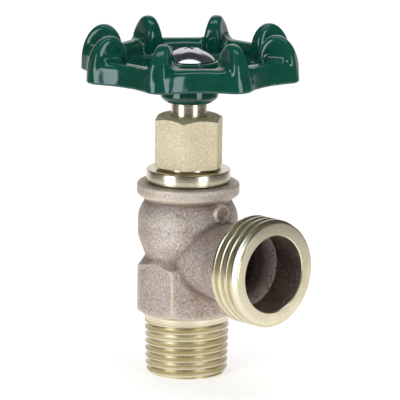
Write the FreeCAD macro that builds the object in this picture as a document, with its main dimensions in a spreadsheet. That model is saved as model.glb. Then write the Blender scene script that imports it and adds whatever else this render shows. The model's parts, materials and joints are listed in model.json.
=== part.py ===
import FreeCAD, Part
import math
import os
import Sketcher

# A boiler drain valve, in millimetres. The origin is the centre of the inlet's lower end, +Z runs up
# the stem, and the hose outlet points along -Y.

doc = FreeCAD.newDocument("boiler_drain_valve")

# Driving dimensions
SIZES = [
    ("pipe_radius", "10.67", "half-inch pipe, outside"),
    ("inlet_length", "15.4", "pipe thread and the plain ring above it"),
    ("inlet_bore_radius", "6.5", "cast bore from the inlet's end to the seat's bore"),
    ("body_flats", "22.4", "body hexagon across its flats"),
    ("body_chamfer_radius", "11.2", "circle that the hexagon's lower chamfer starts from"),
    ("body_chamfer_angle", "30", "lower chamfer of the hexagon, in degrees"),
    ("body_corner_height", "11.9", "hexagon's corners, above its lower face"),
    ("body_shoulder_rise", "1.75", "shoulder's rise from the corners to the waist"),
    ("waist_radius", "10.7", "waist between hexagon and globe"),
    ("waist_height", "14.9", "waist, above the hexagon's lower face"),
    ("globe_radius", "12.45", "globe at its widest"),
    ("globe_lower_height", "7.7", "waist to the globe's middle"),
    ("globe_upper_height", "6.3", "the globe's middle to the neck"),
    ("globe_band", "2.6", "half of the globe's upright band"),
    ("neck_radius", "11.2", "neck under the collar"),
    ("flare_height", "1.6", "flare from the neck to the collar"),
    ("collar_radius", "12.85", "collar"),
    ("collar_height", "3.1", "collar's straight side"),
    ("outlet_height", "15.1", "outlet's axis, above the hexagon's lower face"),
    ("outlet_reach", "31.5", "outlet's end face, from the stem's axis"),
    ("outlet_thread_radius", "13.49", "three-quarter-inch hose thread, outside"),
    ("outlet_thread_length", "9.1", "hose thread"),
    ("outlet_bore_radius", "9.65", "machined bore of the outlet"),
    ("outlet_bore_depth", "9.0", "depth of the machined bore"),
    ("waterway_radius", "7.4", "cast waterway to the chamber"),
    ("waterway_end", "4.0", "waterway's inner end, from the stem's axis"),
    ("waterway_taper", "5.5", "length that the cast waterway narrows in, behind the machined bore"),
    ("horn_root_radius", "9.4", "outlet's neck where it leaves the globe"),
    ("horn_rear_radius", "12.0", "outlet's neck behind the hose thread"),
    ("horn_start", "14.5", "where the outlet's neck starts to flare, from the stem's axis"),
    ("nub_radius", "2.1", "cast nub above the outlet"),
    ("nub_height", "12.1", "nub's centre, above the outlet's axis"),
    ("nub_reach", "13.1", "nub's end, from the stem's axis"),
    ("column_radius", "8.75", "inlet column inside the body"),
    ("column_foot", "20.0", "level that the inlet column starts from"),
    ("seat_height", "2.5", "seat, above the outlet's axis"),
    ("seat_radius", "7.8", "raised seat ring, outside"),
    ("seat_rise", "1.0", "seat ring above the chamber's floor"),
    ("seat_bore_radius", "6.0", "machined bore through the seat"),
    ("seat_bore_length", "3.0", "machined bore through the seat"),
    ("seat_gap", "0.05", "washer above the seat, closed"),
    ("bonnet_thread_radius", "8.9", "bonnet's thread in the collar"),
    ("bonnet_thread_length", "5.4", "bonnet's threaded end"),
    ("bonnet_bore_height", "12.1", "bore for the stem's thread, above the bonnet's lower end"),
    ("bonnet_neck_radius", "6.5", "bonnet's neck, which carries the packing nut"),
    ("bonnet_neck_height", "8.0", "bonnet's neck above its flange"),
    ("flange_radius", "10.58", "bonnet's flange"),
    ("flange_height", "3.1", "bonnet's flange"),
    ("gasket_radius", "10.1", "gasket, outside"),
    ("gasket_thickness", "0.3", "gasket under the flange"),
    ("nut_flats", "15.875", "packing nut across its flats"),
    ("nut_height", "12.8", "packing nut"),
    ("nut_lift", "0.7", "packing nut above the flange"),
    ("nut_roof", "1.6", "packing nut's upper wall"),
    ("nut_chamfer_radius", "7.8", "circle that the nut's chamfer starts from"),
    ("nut_chamfer_angle", "33", "nut's upper chamfer, in degrees"),
    ("nut_turn", "9", "nut's corner, turned from the outlet, in degrees"),
    ("stem_radius", "4.47", "stem above its thread"),
    ("stem_thread_radius", "5.3", "stem's thread, outside"),
    ("stem_thread_pitch", "2.117", "twelve threads per inch"),
    ("stem_turns", "2.5", "turns of the wheel from closed to open"),
    ("stem_stop_gap", "0.4", "what is left above the holder when it is open"),
    ("stem_square", "6.25", "square end in the handwheel"),
    ("stem_end_gap", "0.4", "square end below the hub's upper face"),
    ("holder_radius", "8.1", "washer holder, outside"),
    ("washer_radius", "7.5", "seat washer"),
    ("washer_thickness", "3.15", "seat washer"),
    ("running_fit", "0.05", "clearance between pieces that turn or slide"),
    ("washer_head_radius", "3.0", "washer screw's head"),
    ("washer_head_height", "1.5", "washer screw's head"),
    ("washer_screw_radius", "2.05", "washer screw's shank"),
    ("washer_screw_length", "8.0", "washer screw's shank"),
    ("hub_gap", "3.45", "stem seen between nut and hub"),
    ("hub_radius", "6.95", "handwheel's hub"),
    ("hub_height", "10.55", "hub"),
    ("hub_foot_radius", "5.3", "hub's lower face"),
    ("hub_cone_height", "1.4", "cone under the hub"),
    ("rim_level", "6.65", "rim's lower face above the hub's"),
    ("rim_height", "5.9", "rim"),
    ("rim_valley_depth", "3.775", "valleys of the rim, inside the lobes' tips"),
    ("rim_wall", "5.2", "rim's width at a valley"),
    ("rim_bevel", "0.8", "rim's upper outer edge"),
    ("web_thickness", "1.9", "web between hub and rim"),
    ("lobe_count", "8", "finger lobes"),
    ("lobe_reach", "28.575", "lobes' tips, from the stem's axis"),
    ("lobe_setback", "0.2", "raised part of a lobe, inside its tip"),
    ("lobe_tip_radius", "2.6", "lobes' tips, seen from above"),
    ("lobe_round_radius", "5.5", "lobes' half-round tops, seen from the side"),
    ("lobe_round_level", "0.3", "centre of the half-round above the rim"),
    ("lobe_sides", "10", "short sides that make up a half-round"),
    ("lobe_half", "2.1", "half of a lobe's thickness"),
    ("lobe_slope", "24", "slope from a lobe's crest to its flanks, in degrees"),
    ("wheel_turn", "-15", "lobes, turned from the outlet, in degrees"),
    ("screw_head_radius", "5.05", "handle screw's head"),
    ("screw_head_height", "3.2", "handle screw's head"),
    ("screw_edge_height", "1.3", "upright edge of the head"),
    ("screw_crown_radius", "3.4", "flat top of the head"),
    ("screw_radius", "2.08", "handle screw's shank"),
    ("screw_length", "8.5", "handle screw's shank"),
]

# Levels, radii and arc centres that follow from the driving dimensions
PLACES = [
    ("body_foot", "sizes.inlet_length"),
    ("body_corner_radius", "sizes.body_flats / 2 / cos(30 deg)"),
    ("body_cut_radius", "body_corner_radius + 1"),
    ("body_chamfer_top",
     "body_foot + (body_cut_radius - sizes.body_chamfer_radius)"
     " * tan(sizes.body_chamfer_angle * 1 deg)"),
    ("body_corner_top", "body_foot + sizes.body_corner_height"),
    ("body_shoulder_top", "body_corner_top + sizes.body_shoulder_rise"),
    ("body_shoulder_slope",
     "sizes.body_shoulder_rise / (body_corner_radius - sizes.waist_radius)"),
    ("body_shoulder_outer", "body_corner_top - body_shoulder_slope"),
    ("waist_level", "body_foot + sizes.waist_height"),
    ("body_top", "waist_level + 0.5"),
    ("body_middle", "body_foot + sizes.body_corner_height / 2"),
    ("globe_level", "waist_level + sizes.globe_lower_height"),
    ("neck_level", "globe_level + sizes.globe_upper_height"),
    ("band_foot", "globe_level - sizes.globe_band"),
    ("band_top", "globe_level + sizes.globe_band"),
    ("collar_foot", "neck_level + sizes.flare_height"),
    ("collar_top", "collar_foot + sizes.collar_height"),
    ("outlet_level", "body_foot + sizes.outlet_height"),
    ("horn_end", "sizes.outlet_reach - sizes.outlet_thread_length"),
    ("outlet_bore_end", "sizes.outlet_reach - sizes.outlet_bore_depth"),
    ("waterway_taper_end", "outlet_bore_end - sizes.waterway_taper"),
    ("nub_level", "outlet_level + sizes.nub_height"),
    ("seat_level", "outlet_level + sizes.seat_height"),
    ("seat_bore_foot", "seat_level - sizes.seat_bore_length"),
    ("chamber_floor", "seat_level - sizes.seat_rise"),
    ("throat_radius", "sizes.bonnet_thread_radius + sizes.running_fit"),
    ("flange_foot", "collar_top + sizes.gasket_thickness"),
    ("flange_top", "flange_foot + sizes.flange_height"),
    ("bonnet_foot", "flange_foot - sizes.bonnet_thread_length"),
    ("bonnet_neck_top", "flange_top + sizes.bonnet_neck_height"),
    ("bonnet_bore_top", "bonnet_foot + sizes.bonnet_bore_height"),
    ("bonnet_bore_radius", "sizes.stem_thread_radius + sizes.running_fit"),
    ("stem_hole_radius", "sizes.stem_radius + sizes.running_fit"),
    ("nut_foot", "flange_top + sizes.nut_lift"),
    ("nut_top", "nut_foot + sizes.nut_height"),
    ("nut_ceiling", "nut_top - sizes.nut_roof"),
    ("nut_bore_radius", "sizes.bonnet_neck_radius + sizes.running_fit"),
    ("nut_cut_radius", "sizes.nut_flats / 2 / cos(30 deg) + 1"),
    ("nut_chamfer_foot",
     "nut_top - (nut_cut_radius - sizes.nut_chamfer_radius)"
     " * tan(sizes.nut_chamfer_angle * 1 deg)"),
    ("nut_above", "nut_top + 1"),
    ("washer_foot", "seat_level + sizes.seat_gap"),
    ("washer_top", "washer_foot + sizes.washer_thickness"),
    ("stem_lift", "sizes.stem_thread_pitch * sizes.stem_turns"),
    ("holder_top", "bonnet_foot - stem_lift - sizes.stem_stop_gap"),
    ("stem_thread_top", "bonnet_bore_top - stem_lift - sizes.stem_stop_gap"),
    ("hub_foot", "nut_top + sizes.hub_gap"),
    ("hub_top", "hub_foot + sizes.hub_height"),
    ("hub_cone_top", "hub_foot + sizes.hub_cone_height"),
    ("stem_top", "hub_top - sizes.stem_end_gap"),
    ("stem_square_half", "sizes.stem_square / 2"),
    ("hub_square_half", "stem_square_half + sizes.running_fit"),
    ("washer_head_foot", "washer_foot - sizes.washer_head_height"),
    ("washer_hole_radius", "sizes.washer_screw_radius + sizes.running_fit"),
    ("washer_screw_top", "washer_foot + sizes.washer_screw_length"),
    ("washer_hole_top", "washer_screw_top + 0.3"),
    ("screw_hole_radius", "sizes.screw_radius + sizes.running_fit"),
    ("screw_end", "hub_top - sizes.screw_length"),
    ("screw_hole_end", "screw_end - 0.5"),
    ("screw_edge_top", "hub_top + sizes.screw_edge_height"),
    ("screw_head_top", "hub_top + sizes.screw_head_height"),
    ("rim_foot", "hub_foot + sizes.rim_level"),
    ("rim_top", "rim_foot + sizes.rim_height"),
    ("rim_above", "rim_top + 1"),
    ("web_top", "rim_foot + sizes.web_thickness"),
    ("rim_valley_radius", "sizes.lobe_reach - sizes.rim_valley_depth"),
    ("rim_inner_radius", "rim_valley_radius - sizes.rim_wall"),
    ("lobe_half_angle", "180 / sizes.lobe_count"),
    ("lobe_tip_centre", "sizes.lobe_reach - sizes.lobe_tip_radius"),
    ("valley_inset", "rim_valley_radius - sizes.lobe_tip_radius"),
    ("valley_centre",
     "(lobe_tip_centre ^ 2 - valley_inset ^ 2)"
     " / (2 * (lobe_tip_centre * cos(lobe_half_angle * 1 deg) - valley_inset))"),
    ("valley_arc", "valley_centre - rim_valley_radius"),
    ("valley_centre_along", "valley_centre * cos(lobe_half_angle * 1 deg)"),
    ("valley_centre_across", "valley_centre * sin(lobe_half_angle * 1 deg)"),
    ("valley_along", "rim_valley_radius * cos(lobe_half_angle * 1 deg)"),
    ("valley_across", "rim_valley_radius * sin(lobe_half_angle * 1 deg)"),
    ("tip_share", "sizes.lobe_tip_radius / (valley_arc + sizes.lobe_tip_radius)"),
    ("tip_along",
     "lobe_tip_centre"
     " + (valley_centre_along - lobe_tip_centre) * tip_share"),
    ("tip_across", "valley_centre_across * tip_share"),
    ("lobe_outer_end", "sizes.lobe_reach - sizes.lobe_setback"),
    ("lobe_axis", "lobe_outer_end - sizes.lobe_round_radius"),
    ("lobe_inner_end", "lobe_axis - sizes.lobe_round_radius"),
    ("lobe_level", "rim_top + sizes.lobe_round_level"),
    ("lobe_foot", "rim_foot + sizes.web_thickness / 4"),
]


def write_sheet(name, rows):
    """A sheet with one named cell in column B per row, and its meaning in column A."""
    sheet = doc.addObject("Spreadsheet::Sheet", name)
    for row, (alias, text, note) in enumerate(rows, start=1):
        sheet.set(f"A{row}", note)
        sheet.set(f"B{row}", text)
        sheet.setAlias(f"B{row}", alias)
    doc.recompute()
    return sheet


sizes = write_sheet("sizes", SIZES)
places = write_sheet("places", [(alias, "=" + formula, "") for alias, formula in PLACES])
SIZE_NAMES = {alias for alias, text, note in SIZES}


def source(alias):
    """The expression that reads a named cell."""
    return f"sizes.{alias}" if alias in SIZE_NAMES else f"places.{alias}"


def value(alias):
    """The number in a named cell; 0 stands for an axis, and a leading minus turns the sign."""
    if alias == 0:
        return 0.0
    if alias.startswith("-"):
        return -value(alias[1:])
    return float(getattr(sizes if alias in SIZE_NAMES else places, alias))


def bind(target, property_name, alias):
    target.setExpression(property_name, source(alias))


def origin_feature(body, role):
    return next(item for item in body.Origin.OriginFeatures if item.Role == role)


def new_body(name):
    body = doc.addObject("PartDesign::Body", name)
    body.Label = name
    return body


def new_sketch(body, name, plane, level=None, turned=False):
    """A sketch on one of the body's origin planes, lifted to a named level along its normal or up.

    A turned sketch lies on the YZ plane at the outlet's level, with its first axis along the outlet.
    """
    sketch = body.newObject("Sketcher::SketchObject", name)
    sketch.AttachmentSupport = [(origin_feature(body, plane), "")]
    sketch.MapMode = "FlatFace"
    if turned:
        sketch.AttachmentOffset = FreeCAD.Placement(
            FreeCAD.Vector(0, value(level), 0), FreeCAD.Rotation(FreeCAD.Vector(0, 0, 1), 180))
        bind(sketch, ".AttachmentOffset.Base.y", level)
    elif level:
        sketch.AttachmentOffset = FreeCAD.Placement(FreeCAD.Vector(0, 0, value(level)), FreeCAD.Rotation())
        bind(sketch, ".AttachmentOffset.Base.z", level)
    return sketch


ORIGIN_POINT = (-1, 1)
FIRST_AXIS, SECOND_AXIS = range(-1, -3, -1)
START, END, CENTRE = range(1, 4)


def fix_coordinate(sketch, geometry, point, kind, alias):
    """Hold one coordinate of a sketch point at a named cell's value, or on the axis."""
    if alias == 0:
        axis = SECOND_AXIS if kind == "DistanceX" else FIRST_AXIS
        sketch.addConstraint(Sketcher.Constraint("PointOnObject", geometry, point, axis))
        return
    here = (geometry, point)
    first, second = (here, ORIGIN_POINT) if alias.startswith("-") else (ORIGIN_POINT, here)
    plain = alias.lstrip("-")
    number = sketch.addConstraint(Sketcher.Constraint(kind, *first, *second, value(plain)))
    sketch.setExpression(f"Constraints[{number}]", source(plain))


class Arc:
    """An arc to the next corner: its centre, its way round, and the coordinate that fixes the centre."""

    def __init__(self, across, up, way, held):
        self.centre = (across, up)
        self.way = way
        self.held = held


def draw_outline(sketch, steps):
    """A closed outline: corners as pairs of cell names, with an Arc between two corners that it joins."""
    corners = [step for step in steps if not isinstance(step, Arc)]
    arcs = {}
    for index, step in enumerate(steps):
        if isinstance(step, Arc):
            arcs[len([s for s in steps[:index] if not isinstance(s, Arc)]) - 1] = step
    points = [FreeCAD.Vector(value(across), value(up), 0) for across, up in corners]
    ends = []
    for index, here in enumerate(points):
        there = points[(index + 1) % len(points)]
        arc = arcs.get(index)
        if arc is None:
            geometry = sketch.addGeometry(Part.LineSegment(here, there))
            ends.append((geometry, START, END))
            continue
        centre = FreeCAD.Vector(value(arc.centre[0]), value(arc.centre[1]), 0)
        circle = Part.Circle(centre, FreeCAD.Vector(0, 0, 1), (here - centre).Length)
        first = math.atan2(here.y - centre.y, here.x - centre.x)
        last = math.atan2(there.y - centre.y, there.x - centre.x)
        if arc.way < 0:
            first, last = last, first
        geometry = sketch.addGeometry(Part.ArcOfCircle(circle, first, last))
        ends.append((geometry, START, END) if arc.way > 0 else (geometry, END, START))
    for index, (geometry, first, last) in enumerate(ends):
        following, following_first, following_last = ends[(index + 1) % len(ends)]
        sketch.addConstraint(
            Sketcher.Constraint("Coincident", geometry, last, following, following_first))
        fix_coordinate(sketch, geometry, first, "DistanceX", corners[index][0])
        fix_coordinate(sketch, geometry, first, "DistanceY", corners[index][1])
        arc = arcs.get(index)
        if arc is not None:
            kind = "DistanceX" if arc.held == "across" else "DistanceY"
            alias = arc.centre[0] if arc.held == "across" else arc.centre[1]
            fix_coordinate(sketch, geometry, CENTRE, kind, alias)
    return sketch


def spin(body, name, steps, kind="PartDesign::Revolution", outlet=False):
    """Turn an outline of (radius, height) corners about the stem's axis, or about the outlet's."""
    if outlet:
        sketch = new_sketch(body, name + "_outline", "YZ_Plane", "outlet_level", turned=True)
    else:
        sketch = new_sketch(body, name + "_outline", "XZ_Plane")
    draw_outline(sketch, steps)
    feature = body.newObject(kind, name)
    feature.Profile = sketch
    feature.ReferenceAxis = (sketch, ["H_Axis" if outlet else "V_Axis"])
    feature.Angle = 360
    doc.recompute()
    return feature


def turned_ring(name, inner, outer, foot, top):
    """A plain ring between two radii and two levels."""
    body = new_body(name)
    spin(body, name + "_turning", [(inner, foot), (outer, foot), (outer, top), (inner, top)])
    return body


def draw_hexagon(sketch, flats):
    """A hexagon about the sketch's origin, with two corners on its second axis."""
    corner = value(flats) / 2 / math.cos(math.pi / 6)
    points = []
    for index in range(6):
        angle = math.pi / 2 + index * math.pi / 3
        points.append(FreeCAD.Vector(corner * math.cos(angle), corner * math.sin(angle), 0))
    lines = [sketch.addGeometry(Part.LineSegment(points[i], points[(i + 1) % 6])) for i in range(6)]
    guide = sketch.addGeometry(Part.Circle(FreeCAD.Vector(), FreeCAD.Vector(0, 0, 1), corner), True)
    sketch.addConstraint(Sketcher.Constraint("Coincident", guide, CENTRE, *ORIGIN_POINT))
    for index, line in enumerate(lines):
        following = lines[(index + 1) % 6]
        sketch.addConstraint(Sketcher.Constraint("Coincident", line, END, following, START))
        sketch.addConstraint(Sketcher.Constraint("PointOnObject", line, START, guide))
        if index:
            sketch.addConstraint(Sketcher.Constraint("Equal", lines[0], line))
    sketch.addConstraint(Sketcher.Constraint("PointOnObject", lines[0], START, SECOND_AXIS))
    number = sketch.addConstraint(Sketcher.Constraint("Radius", guide, corner))
    sketch.setExpression(f"Constraints[{number}]", f"{source(flats)} / 2 / cos(30 deg)")


def draw_lobe(sketch):
    """The side view of a lobe: an upright foot under a half-round top of short equal sides."""
    count = int(value("lobe_sides"))
    radius = value("lobe_round_radius")
    level = value("lobe_level")
    points = [FreeCAD.Vector(-value("lobe_outer_end"), value("lobe_foot"), 0)]
    for index in range(count + 1):
        angle = math.pi - math.pi * index / count
        points.append(FreeCAD.Vector(
            radius * math.cos(angle) - value("lobe_axis"), radius * math.sin(angle) + level, 0))
    points.append(FreeCAD.Vector(-value("lobe_inner_end"), value("lobe_foot"), 0))
    lines = [sketch.addGeometry(Part.LineSegment(here, there))
             for here, there in zip(points, points[1:] + points[:1])]
    guide = sketch.addGeometry(Part.Circle(
        FreeCAD.Vector(-value("lobe_axis"), level, 0), FreeCAD.Vector(0, 0, 1), radius), True)
    fix_coordinate(sketch, guide, CENTRE, "DistanceX", "-lobe_axis")
    fix_coordinate(sketch, guide, CENTRE, "DistanceY", "lobe_level")
    number = sketch.addConstraint(Sketcher.Constraint("Radius", guide, radius))
    sketch.setExpression(f"Constraints[{number}]", source("lobe_round_radius"))
    for line, following in zip(lines, lines[1:] + lines[:1]):
        sketch.addConstraint(Sketcher.Constraint("Coincident", line, END, following, START))
    first, *sides, last, foot = lines
    fix_coordinate(sketch, first, START, "DistanceX", "-lobe_outer_end")
    fix_coordinate(sketch, first, START, "DistanceY", "lobe_foot")
    fix_coordinate(sketch, last, END, "DistanceX", "-lobe_inner_end")
    fix_coordinate(sketch, last, END, "DistanceY", "lobe_foot")
    fix_coordinate(sketch, first, END, "DistanceX", "-lobe_outer_end")
    fix_coordinate(sketch, first, END, "DistanceY", "lobe_level")
    fix_coordinate(sketch, last, START, "DistanceX", "-lobe_inner_end")
    fix_coordinate(sketch, last, START, "DistanceY", "lobe_level")
    for side, following in zip(sides, sides[1:]):
        sketch.addConstraint(Sketcher.Constraint("PointOnObject", following, START, guide))
        sketch.addConstraint(Sketcher.Constraint("Equal", side, following))


def pad(body, name, sketch, length, reverse=False):
    feature = body.newObject("PartDesign::Pad", name)
    feature.Profile = sketch
    feature.Reversed = reverse
    feature.setExpression("Length", length)
    doc.recompute()
    return feature


def bevel_edges(body, name, base, size, belongs):
    """Bevel the base feature's edges for which belongs(edge) is true."""
    chosen = [f"Edge{number}" for number, edge in enumerate(base.Shape.Edges, start=1) if belongs(edge)]
    feature = body.newObject("PartDesign::Chamfer", name)
    feature.Base = (base, chosen)
    feature.Size = value(size)
    bind(feature, "Size", size)
    doc.recompute()
    return feature


def make_valve_body():
    """The casting: hexagon, inlet, globe, collar and outlet, then the passages inside."""
    body = new_body("valve_body")
    hexagon = new_sketch(body, "hexagon_outline", "XY_Plane", "body_foot")
    draw_hexagon(hexagon, "body_flats")
    pad(body, "hexagon", hexagon, "places.body_top - places.body_foot")
    spin(body, "lower_chamfer", [
        ("body_chamfer_radius", "body_foot"), ("body_cut_radius", "body_foot"),
        ("body_cut_radius", "body_chamfer_top")], kind="PartDesign::Groove")
    spin(body, "shoulder", [
        ("waist_radius", "body_shoulder_top"), ("body_cut_radius", "body_shoulder_outer"),
        ("body_cut_radius", "globe_level"), ("waist_radius", "globe_level")],
        kind="PartDesign::Groove")
    spin(body, "barrel", [
        (0, 0), ("pipe_radius", 0), ("pipe_radius", "body_middle"),
        ("waist_radius", "body_middle"), ("waist_radius", "waist_level"),
        ("globe_radius", "band_foot"), ("globe_radius", "band_top"), ("neck_radius", "neck_level"),
        ("collar_radius", "collar_foot"),
        ("collar_radius", "collar_top"), (0, "collar_top")])
    spin(body, "outlet", [
        ("waterway_end", 0), ("waterway_end", "horn_root_radius"), ("horn_start", "horn_root_radius"),
        ("horn_end", "horn_rear_radius"),
        ("horn_end", "outlet_thread_radius"), ("outlet_reach", "outlet_thread_radius"),
        ("outlet_reach", 0)], outlet=True)
    nub = new_sketch(body, "nub_outline", "XZ_Plane")
    circle = nub.addGeometry(Part.Circle(
        FreeCAD.Vector(0, value("nub_level"), 0), FreeCAD.Vector(0, 0, 1), value("nub_radius")))
    fix_coordinate(nub, circle, CENTRE, "DistanceX", 0)
    fix_coordinate(nub, circle, CENTRE, "DistanceY", "nub_level")
    number = nub.addConstraint(Sketcher.Constraint("Radius", circle, value("nub_radius")))
    nub.setExpression(f"Constraints[{number}]", "sizes.nub_radius")
    pad(body, "nub", nub, "sizes.nub_reach")
    spin(body, "chamber", [
        (0, "chamber_floor"), ("throat_radius", "chamber_floor"), ("throat_radius", "collar_top"),
        (0, "collar_top")], kind="PartDesign::Groove")
    spin(body, "waterway", [
        ("waterway_end", 0), ("waterway_end", "waterway_radius"),
        ("waterway_taper_end", "waterway_radius"), ("outlet_bore_end", "outlet_bore_radius"),
        ("outlet_reach", "outlet_bore_radius"), ("outlet_reach", 0)],
        kind="PartDesign::Groove", outlet=True)
    spin(body, "column", [
        (0, "column_foot"), ("column_radius", "column_foot"), ("column_radius", "chamber_floor"),
        ("seat_radius", "chamber_floor"), ("seat_radius", "seat_level"), (0, "seat_level")])
    spin(body, "inlet", [
        (0, 0), ("inlet_bore_radius", 0), ("inlet_bore_radius", "seat_bore_foot"),
        ("seat_bore_radius", "seat_bore_foot"), ("seat_bore_radius", "seat_level"), (0, "seat_level")],
        kind="PartDesign::Groove")
    return body


def make_bonnet():
    body = new_body("bonnet")
    spin(body, "bonnet_turning", [
        ("bonnet_bore_radius", "bonnet_foot"), ("bonnet_thread_radius", "bonnet_foot"),
        ("bonnet_thread_radius", "flange_foot"), ("flange_radius", "flange_foot"),
        ("flange_radius", "flange_top"),
        ("bonnet_neck_radius", "flange_top"), ("bonnet_neck_radius", "bonnet_neck_top"),
        ("stem_hole_radius", "bonnet_neck_top"), ("stem_hole_radius", "bonnet_bore_top"),
        ("bonnet_bore_radius", "bonnet_bore_top")])
    return body


def make_packing_nut():
    body = new_body("packing_nut")
    hexagon = new_sketch(body, "nut_outline", "XY_Plane", "nut_foot")
    draw_hexagon(hexagon, "nut_flats")
    pad(body, "nut_block", hexagon, "sizes.nut_height")
    spin(body, "nut_chamfer", [
        ("nut_chamfer_radius", "nut_top"), ("nut_cut_radius", "nut_chamfer_foot"),
        ("nut_cut_radius", "nut_above"), ("nut_chamfer_radius", "nut_above")],
        kind="PartDesign::Groove")
    spin(body, "nut_bore", [
        (0, "nut_foot"), ("nut_bore_radius", "nut_foot"), ("nut_bore_radius", "nut_ceiling"),
        ("stem_hole_radius", "nut_ceiling"), ("stem_hole_radius", "nut_top"), (0, "nut_top")],
        kind="PartDesign::Groove")
    body.setExpression(".Placement.Rotation.Angle", "sizes.nut_turn * 1 deg")
    return body


def make_stem():
    """The stem with its washer holder, coarse thread and square end."""
    body = new_body("stem")
    spin(body, "stem_turning", [
        (0, "washer_top"), ("holder_radius", "washer_top"), ("holder_radius", "holder_top"),
        ("stem_thread_radius", "holder_top"),
        ("stem_thread_radius", "stem_thread_top"), ("stem_radius", "stem_thread_top"),
        ("stem_radius", "hub_foot"), (0, "hub_foot")])
    square = new_sketch(body, "square_outline", "XY_Plane", "hub_foot")
    half = "stem_square_half"
    draw_outline(square, [
        ("-" + half, "-" + half), (half, "-" + half), (half, half), ("-" + half, half)])
    pad(body, "square_end", square, "places.stem_top - places.hub_foot")
    spin(body, "washer_screw_hole", [
        (0, "washer_top"), ("washer_hole_radius", "washer_top"),
        ("washer_hole_radius", "washer_hole_top"), (0, "washer_hole_top")],
        kind="PartDesign::Groove")
    spin(body, "handle_screw_hole", [
        (0, "screw_hole_end"), ("screw_hole_radius", "screw_hole_end"),
        ("screw_hole_radius", "stem_top"), (0, "stem_top")], kind="PartDesign::Groove")
    body.setExpression(".Placement.Rotation.Angle", "sizes.wheel_turn * 1 deg")
    return body


def make_washer_screw():
    body = new_body("washer_screw")
    spin(body, "washer_screw_turning", [
        (0, "washer_head_foot"), ("washer_head_radius", "washer_head_foot"),
        ("washer_head_radius", "washer_foot"), ("washer_screw_radius", "washer_foot"),
        ("washer_screw_radius", "washer_screw_top"), (0, "washer_screw_top")])
    return body


def make_handle_screw():
    """The domed screw on top of the hub."""
    body = new_body("handle_screw")
    spin(body, "handle_screw_turning", [
        (0, "screw_end"), ("screw_radius", "screw_end"), ("screw_radius", "hub_top"),
        ("screw_head_radius", "hub_top"), ("screw_head_radius", "screw_edge_top"),
        ("screw_crown_radius", "screw_head_top"), (0, "screw_head_top")])
    return body


def make_handwheel():
    """The wheel: a scalloped rim round a dished web, a hub, and eight half-round finger lobes."""
    body = new_body("handwheel")
    sector = new_sketch(body, "sector_outline", "XY_Plane", "rim_foot")
    draw_outline(sector, [
        (0, 0), ("-valley_across", "-valley_along"),
        Arc("-valley_centre_across", "-valley_centre_along", -1, "across"),
        ("-tip_across", "-tip_along"),
        Arc(0, "-lobe_tip_centre", 1, "up"), ("tip_across", "-tip_along"),
        Arc("valley_centre_across", "-valley_centre_along", -1, "across"),
        ("valley_across", "-valley_along")])
    first = pad(body, "rim_sector", sector, "sizes.rim_height")
    rim = repeat_round(body, "rim", [first])
    bevel_edges(body, "rim_edge", rim, "rim_bevel",
                lambda edge: edge.BoundBox.ZMin > value("rim_top") - 0.01)
    spin(body, "dish", [
        (0, "hub_top"), ("hub_radius", "hub_top"), ("hub_radius", "web_top"),
        ("rim_inner_radius", "web_top"), ("rim_inner_radius", "rim_above"), (0, "rim_above")],
        kind="PartDesign::Groove")
    side_view = new_sketch(body, "lobe_outline", "YZ_Plane")
    draw_lobe(side_view)
    lobe = body.newObject("PartDesign::Pad", "lobe")
    lobe.Profile = side_view
    lobe.SideType = "Two sides"
    for length, slope in (("Length", "TaperAngle"), ("Length2", "TaperAngle2")):
        bind(lobe, length, "lobe_half")
        lobe.setExpression(slope, "-" + source("lobe_slope"))
    doc.recompute()
    repeat_round(body, "lobes", [lobe])
    spin(body, "hub", [
        (0, "hub_foot"), ("hub_foot_radius", "hub_foot"), ("hub_radius", "hub_cone_top"),
        ("hub_radius", "hub_top"), (0, "hub_top")])
    square = new_sketch(body, "hub_square_outline", "XY_Plane", "hub_foot")
    side = "hub_square_half"
    draw_outline(square, [
        ("-" + side, "-" + side), (side, "-" + side), (side, side), ("-" + side, side)])
    hole = body.newObject("PartDesign::Pocket", "hub_square")
    hole.Profile = square
    hole.Reversed = True
    hole.setExpression("Length", "sizes.hub_height")
    doc.recompute()
    body.setExpression(".Placement.Rotation.Angle", "sizes.wheel_turn * 1 deg")
    return body


def repeat_round(body, name, features):
    """One copy of the features for each lobe, evenly round the stem's axis."""
    pattern = body.newObject("PartDesign::PolarPattern", name)
    pattern.Originals = features
    pattern.Axis = (origin_feature(body, "Z_Axis"), [""])
    pattern.Angle = 360
    pattern.Occurrences = int(value("lobe_count"))
    pattern.setExpression("Occurrences", "sizes.lobe_count")
    pattern.Refine = True
    body.Tip = pattern
    doc.recompute()
    return pattern


PIECES = [
    make_valve_body(),
    turned_ring("bonnet_gasket", "throat_radius", "gasket_radius", "collar_top", "flange_foot"),
    make_bonnet(),
    turned_ring("packing_ring", "stem_hole_radius", "bonnet_neck_radius", "bonnet_neck_top", "nut_ceiling"),
    make_packing_nut(),
    make_stem(),
    turned_ring("seat_washer", "washer_hole_radius", "washer_radius", "washer_foot", "washer_top"),
    make_washer_screw(),
    make_handwheel(),
    make_handle_screw(),
]

doc.recompute()

# Everything has to have been built, and each piece has to be one valid solid
for item in doc.Objects:
    if "Invalid" in item.State or "Error" in item.State:
        raise RuntimeError(f"{item.Name} failed: {item.State}")
for piece in PIECES:
    if piece.Shape.isNull() or not piece.Shape.isValid() or len(piece.Shape.Solids) != 1:
        raise RuntimeError(f"{piece.Label} isn't one valid solid")

os.makedirs("parts", exist_ok=True)
for piece in PIECES:
    piece.Shape.exportStep(f"parts/{piece.Label}.step")
    box = piece.Shape.BoundBox
    print(f"{piece.Label}: {piece.Shape.Volume:.1f} mm3, z {box.ZMin:.2f} to {box.ZMax:.2f}")
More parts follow.
